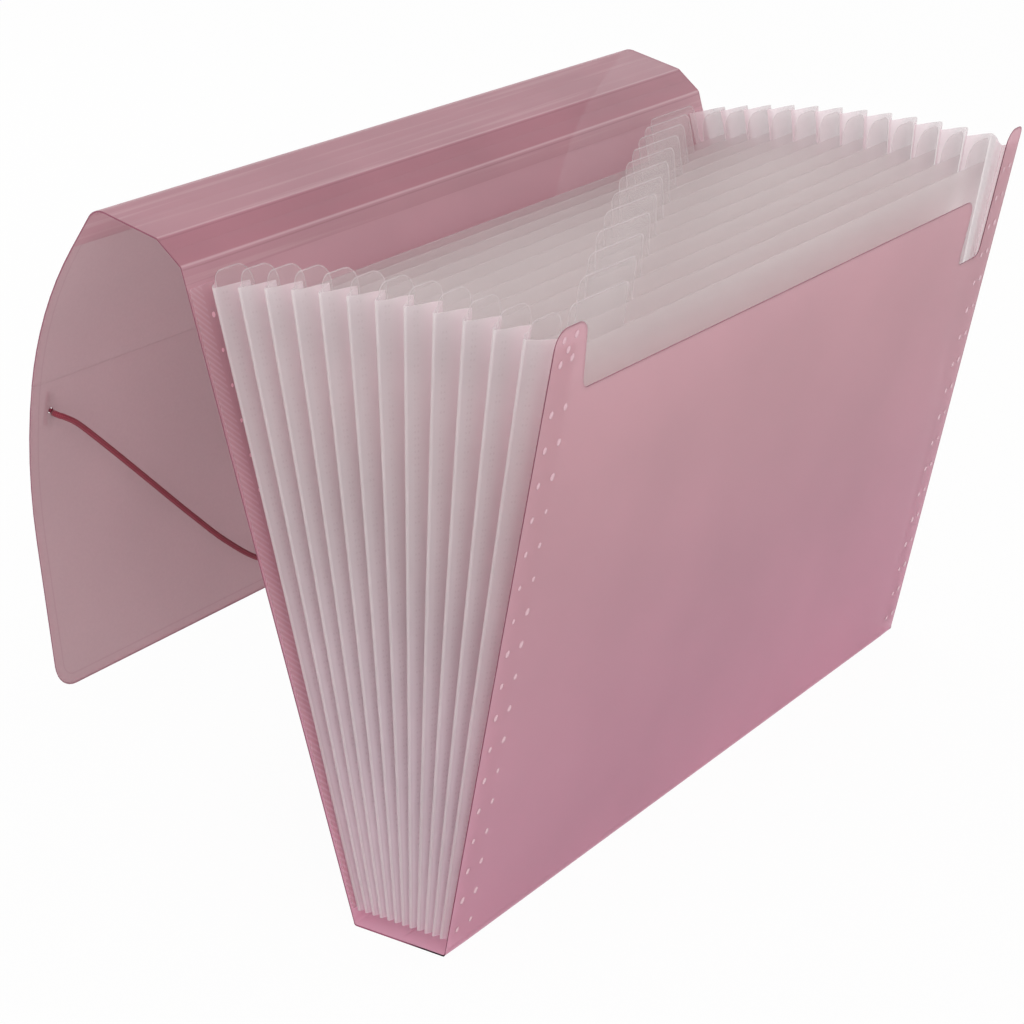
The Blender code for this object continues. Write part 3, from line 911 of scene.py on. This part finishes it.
tab_pitch = (2 * (divider_side - ear_width - tab_margin) - tab_width) / (last_sheet - 2)
for number in range(1, last_sheet):
    tab_middle = tab_pitch * (last_sheet / 2 - number)
    tab_left, tab_right = tab_middle - tab_width / 2, tab_middle + tab_width / 2
    ear_left, ear_right = ear_width - divider_side, divider_side - ear_width
    divider_corners = [
        (-divider_side, divider_foot + foot_rise, 0),
        (-divider_side + foot_cut, divider_foot, 0),
        (divider_side - foot_cut, divider_foot, 0),
        (divider_side, divider_foot + foot_rise, 0),
        (divider_side, right_ear_top, 3.5 * mm),
        (ear_right, right_ear_top, 7 * mm),
        (ear_right, divider_top, 1.5 * mm),
        (tab_right, divider_top, 1.5 * mm),
        (tab_right, ear_top, 3 * mm),
        (tab_left, ear_top, 3 * mm),
        (tab_left, divider_top, 1.5 * mm),
        (ear_left, divider_top, 1.5 * mm),
        (ear_left, ear_top, 7 * mm),
        (-divider_side, ear_top, 3.5 * mm),
    ]
    piece = film(
        f"divider_film_painted_light_{number:02d}",
        rounded(divider_corners),
        lambda x, height: on_sheet(number, x, height),
        frost_thickness,
        (divider_film_painted_light, tab_film, divider_edge),
        cuts=[divider_top],
    )
    for face in piece.data.polygons:
        heights = [piece.data.uv_layers["film"].uv[loop].vector.y for loop in face.loop_indices]
        if max(heights) < divider_top + 0.01 * mm:
            face.material_index = 0
        elif face.material_index == 0:
            face.material_index = 1
    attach(piece, f"divider_{number:02d}")
    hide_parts(f"divider_{number:02d}")

# Gussets
# One strip of thin frosted film at each end of the file, folded in zigzag. Every ridge fold holds a
# divider's edge, welded in with two rows of fine dots, and every valley reaches 12 mm inwards.
gusset_thickness = 0.3 * mm
gusset_foot = 6 * mm
gusset_top = 227 * mm
gusset_rows = 26
hug_steps = 4
panel_steps = 8
ridge_reach = half_width - 0.6 * mm
valley_depth = 12 * mm
shallow_share = 0.2
full_depth_at = 0.75
beside_cover = 0.12
flange_width = 10 * mm
ridge_flat = 0.6 * mm
hug = 0.55 * mm
fold_gap = 0.05 * mm
dot_pitch = 2.2 * mm
knurl_pitch = 2.4 * mm
knurl_width = 6 * mm
random.seed(7)
slack = [[random.uniform(-1, 1) for _ in range(4)] for _ in range(last_sheet)]


def ripples(tree, value, pitch, low, high):
    """1 on the crests of a wave that runs on with a value, 0 in its troughs, with soft flanks."""
    turns = add_node(tree, "ShaderNodeMath", {0: value, 1: 2 * math.pi / pitch}, operation="MULTIPLY")
    wave = add_node(tree, "ShaderNodeMath", {0: turns.outputs[0]}, operation="SINE")
    inputs = {"Value": wave.outputs[0], "From Min": low, "From Max": high}
    return add_node(tree, "ShaderNodeMapRange", inputs, interpolation_type="SMOOTHSTEP").outputs[0]


# Thin frosted film: a pale line painted along a fold as a painted highlight, with two rows of weld dots
# beside it. The valleys are painted lighter and pinker, and the film lighter low down, as painted light. The
# dots fade in patches of 3 mm, where the weld is worn
gusset_film_painted_light, tree, shader = new_material("frosted_gusset_film_painted_light")
from_ridge, rise = sheet_place(tree)
away = add_node(tree, "ShaderNodeMath", {0: from_ridge}, operation="ABSOLUTE").outputs[0]
# Painted light: lighter and pinker towards the valley
toned = turning(tree, "#EBE4E6", "#FAEEF2", away, 2 * mm, 11 * mm)
# Painted light: lighter low down
toned = turning(tree, toned, "#F6EAF1", rise, 180 * mm, 20 * mm, 0.9)
# Painted highlight: a pale line along the fold
toned = marked(tree, toned, "#F6F0F1", near_line(tree, away, 0.0, 1.1 * mm))
near_row, far_row = (near_line(tree, away, row, 0.5 * mm) for row in (3.2 * mm, 4.4 * mm))
dots = add_node(tree, "ShaderNodeMath", {0: near_row, 1: far_row}, operation="MAXIMUM").outputs[0]
spots = add_node(tree, "ShaderNodeTexCoord").outputs["Object"]
patches = add_node(tree, "ShaderNodeTexNoise", {"Vector": spots, "Scale": 1 / (3 * mm)}).outputs[0]
inputs = {"Value": patches, "From Min": 0.35, "From Max": 0.6}
worn = add_node(tree, "ShaderNodeMapRange", inputs, interpolation_type="SMOOTHSTEP").outputs[0]
for share in (ripples(tree, rise, dot_pitch, 0.1, 0.9), worn):
    dots = add_node(tree, "ShaderNodeMath", {0: dots, 1: share}, operation="MULTIPLY").outputs[0]
toned = marked(tree, toned, "#C3B5B7", dots, 0.25)
frosted(tree, shader, toned, roughness=0.42, glow=0.5, clear=0.5, relief=dots)

# The flange is welded flat to the cover, which turns the film clear, with a slanted knurl along its edge
flange_film, tree, shader = new_material("welded_gusset_flange")
from_ridge, rise = sheet_place(tree)
knurl_start = knurl_width - flange_width
inputs = {"Value": from_ridge, "From Min": knurl_start, "From Max": knurl_start - 0.5 * mm}
at_edge = add_node(tree, "ShaderNodeMapRange", inputs, interpolation_type="SMOOTHSTEP").outputs[0]
slanted = add_node(tree, "ShaderNodeMath", {0: from_ridge, 1: rise}, operation="ADD").outputs[0]
inputs = {0: ripples(tree, slanted, knurl_pitch, -0.2, 0.8), 1: at_edge}
knurl = add_node(tree, "ShaderNodeMath", inputs, operation="MULTIPLY").outputs[0]
toned = marked(tree, "#E8C8D0", "#F1DAE0", knurl)
frosted(tree, shader, toned, roughness=0.35, glow=0.45, clear=0.6, relief=knurl, rise=1.0)


def valley(pocket, height):
    """Where a pocket's valley lies between its sheets, as a share, and how deep it reaches. The film is
    slack, so both wander a little with height, and near the foot, where the sheets lie close, the fold
    is shallow. Next to a cover the half panel lies almost on the cover."""
    share = (height - gusset_foot) / (gusset_top - gusset_foot)
    wander = slack[pocket - 1]
    bow = math.sin(math.pi * share)
    wave = math.sin(2 * math.pi * share)
    rest = {1: beside_cover, last_sheet: 1 - beside_cover}.get(pocket, 0.5)
    middle = rest + 0.07 * wander[0] * bow + 0.05 * wander[1] * wave
    opened = min(1.0, share / full_depth_at)
    depth = valley_depth * (shallow_share + (1 - shallow_share) * opened * opened * (3 - 2 * opened))
    depth += (0.7 * wander[2] * bow + 0.5 * wander[3] * wave) * mm
    return middle, depth


def gusset_section(number, side, height, way):
    """Points of one half panel at a height, from the ridge to the valley, with their distance along."""
    here = on_sheet(number, 0, height)
    there = on_sheet(number + way, 0, height)
    middle, depth = valley(max(number, number + way), height)
    span = (there - here).length * (1 - middle if way < 0 else middle)
    across = (there - here).normalized()
    at_cover = number in (0, last_sheet)
    flange = flange_width if at_cover else ridge_flat
    start = hug + fold_gap
    points = []
    if at_cover:
        points += [(ridge_reach, start), (ridge_reach - flange / 2, start)]
    else:
        for step in range(hug_steps + 1):
            turn = math.pi / 2 * step / hug_steps
            points.append((ridge_reach - hug + hug * math.cos(turn), hug * math.sin(turn)))
    leave = ridge_reach - flange
    for step in range(1 - at_cover, panel_steps + 1):
        share = step / panel_steps
        x = leave + (ridge_reach - depth - leave) * share
        eased = share + 0.05 * math.sin(2 * math.pi * share)
        points.append((x, start + (span - start) * eased))
    zero = flange if at_cover else 0.0
    along = [0.0]
    for (x0, forward0), (x1, forward1) in zip(points, points[1:]):
        along.append(along[-1] + math.hypot(x1 - x0, forward1 - forward0))
    spots = [here + across * forward + Vector((side * x, 0, 0)) for x, forward in points]
    return list(zip(spots, [distance - zero for distance in along]))


for side, end_name in ((-1, "left"), (1, "right")):
    for number in range(last_sheet + 1):
        ways = [way for way in (1, -1) if 0 <= number + way <= last_sheet]
        shape = bmesh.new()
        uv = shape.loops.layers.uv.new("film")
        rows = []
        for row in range(gusset_rows):
            height = gusset_foot + (gusset_top - gusset_foot) * row / (gusset_rows - 1)
            section = gusset_section(number, side, height, ways[0])
            if len(ways) == 2:
                behind = gusset_section(number, side, height, ways[1])
                section = [(spot, -distance) for spot, distance in reversed(behind)][:-1] + section
            rows.append([(shape.verts.new(spot), distance, height) for spot, distance in section])
        for low, high in zip(rows, rows[1:]):
            for index in range(len(low) - 1):
                ring = [low[index], low[index + 1], high[index + 1], high[index]]
                if side > 0:
                    ring.reverse()
                face = shape.faces.new([vert for vert, distance, height in ring])
                face.smooth = True
                face.material_index = int(len(ways) == 1)
                for loop, (vert, distance, height) in zip(face.loops, ring):
                    loop[uv].uv = (distance, height)
        piece = finished(f"gusset_{end_name}_{number:02d}", shape, gusset_film_painted_light, flange_film)
        wall = piece.modifiers.new("wall", "SOLIDIFY")
        wall.thickness = gusset_thickness
        wall.offset = 0
        plain(piece)
        piece.data.set_sharp_from_angle(angle=math.radians(50))
        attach(piece, joints[sheet_joints[number]]["child"])
        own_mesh(piece)
        pockets = [pocket for pocket in (number, number + 1) if 1 <= pocket <= last_sheet]
        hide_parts(*[f"pleat_{end_name}_{pocket:02d}" for pocket in pockets])
